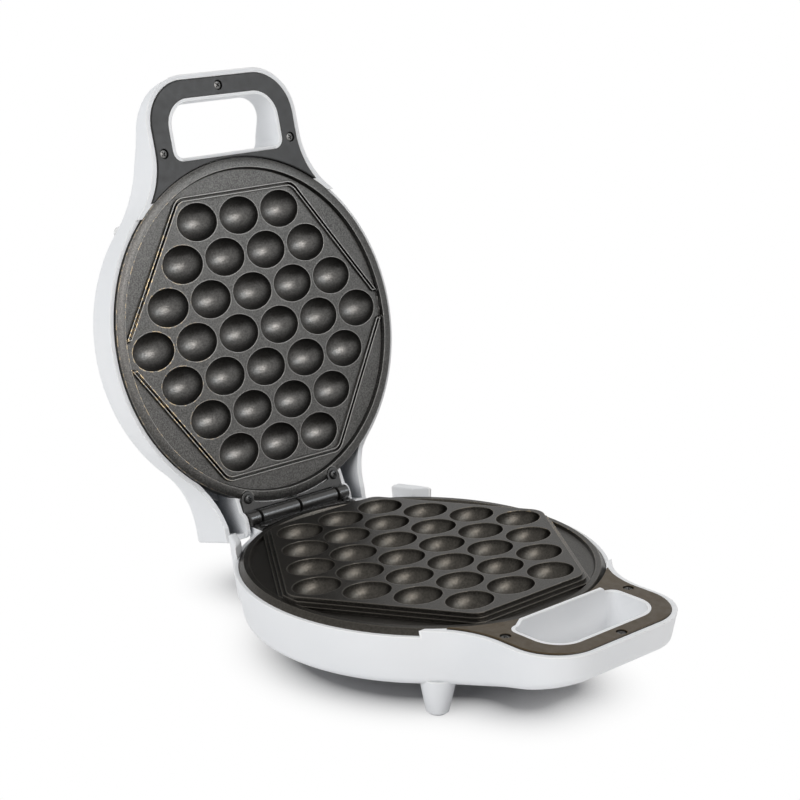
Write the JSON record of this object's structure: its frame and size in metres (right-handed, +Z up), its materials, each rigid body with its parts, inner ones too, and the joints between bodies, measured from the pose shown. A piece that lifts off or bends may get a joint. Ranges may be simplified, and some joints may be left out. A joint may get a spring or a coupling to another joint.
{
  "type": "egg waffle maker",
  "caption": "Electric egg waffle maker: two hinged round housings with loop handles hold cell-patterned cooking plates that close face to face.",
  "frame": {"origin": "centre of the bounding box in plan, at the feet's underside", "axes": "+Z up, -Y towards the handles (the user), +Y towards the hinge, +X to the user's right"},
  "size_m": [0.21, 0.343, 0.3046],
  "materials": {
    "white_shell": "satin moulded plastic",
    "dark_trim": "fine-textured moulded plastic",
    "nonstick_plate": "satin dark non-stick coating on die-cast aluminium",
    "black_screw": "blackened steel",
    "steel_screw": "zinc plated",
    "black_hinge": "gloss black enamel",
    "rubber_pad": "soft rubber",
    "gland_rubber": "pale soft rubber",
    "element": "oxidised steel sheath",
    "shield": "bright sheet",
    "lens": "frosted clear plastic",
    "lamp": "neon lamp",
    "thermostat": "pressed",
    "fuse": "drawn tube",
    "terminal": "moulded ceramic-filled plastic"
  },
  "bodies": {
    "base": {"base_handle_trim": "dark_trim", "base_housing": "white_shell", "base_trim_screw_1": "black_screw", "base_trim_screw_2": "black_screw", "base_trim_screw_3": "black_screw", "cord_gland": "gland_rubber", "foot_pad_front_left": "rubber_pad", "foot_pad_front_right": "rubber_pad", "foot_pad_rear_left": "rubber_pad", "foot_pad_rear_right": "rubber_pad", "hinge_base_bracket": "black_hinge", "hinge_base_screw_left": "black_screw", "hinge_base_screw_right": "black_screw", "hinge_pin": "black_hinge", "lower_heat_shield": "shield", "lower_heating_element": "element", "lower_plate": "nonstick_plate", "plate_screw_1": "steel_screw", "plate_screw_2": "steel_screw", "plate_screw_3": "steel_screw", "plate_screw_4": "steel_screw", "terminal_block": "terminal", "thermal_fuse": "fuse", "thermostat": "thermostat"},
    "lid": {"hinge_lid_bracket": "black_hinge", "hinge_lid_screw_left": "black_screw", "hinge_lid_screw_right": "black_screw", "lid_handle_trim": "dark_trim", "lid_housing": "white_shell", "lid_trim_screw_1": "black_screw", "lid_trim_screw_2": "black_screw", "lid_trim_screw_3": "black_screw", "power_lamp": "lamp", "power_lens": "lens", "ready_lamp": "lamp", "ready_lens": "lens", "upper_heat_shield": "shield", "upper_heating_element": "element", "upper_plate": "nonstick_plate"}
  },
  "joints": [
    {"name": "lid_hinge", "type": "hinge", "parent": "base", "child": "lid", "pos_m": [0, 0.08887, 0.0524], "axis": [-1, 0, 0], "range_deg": [-105, 0]}
  ]
}
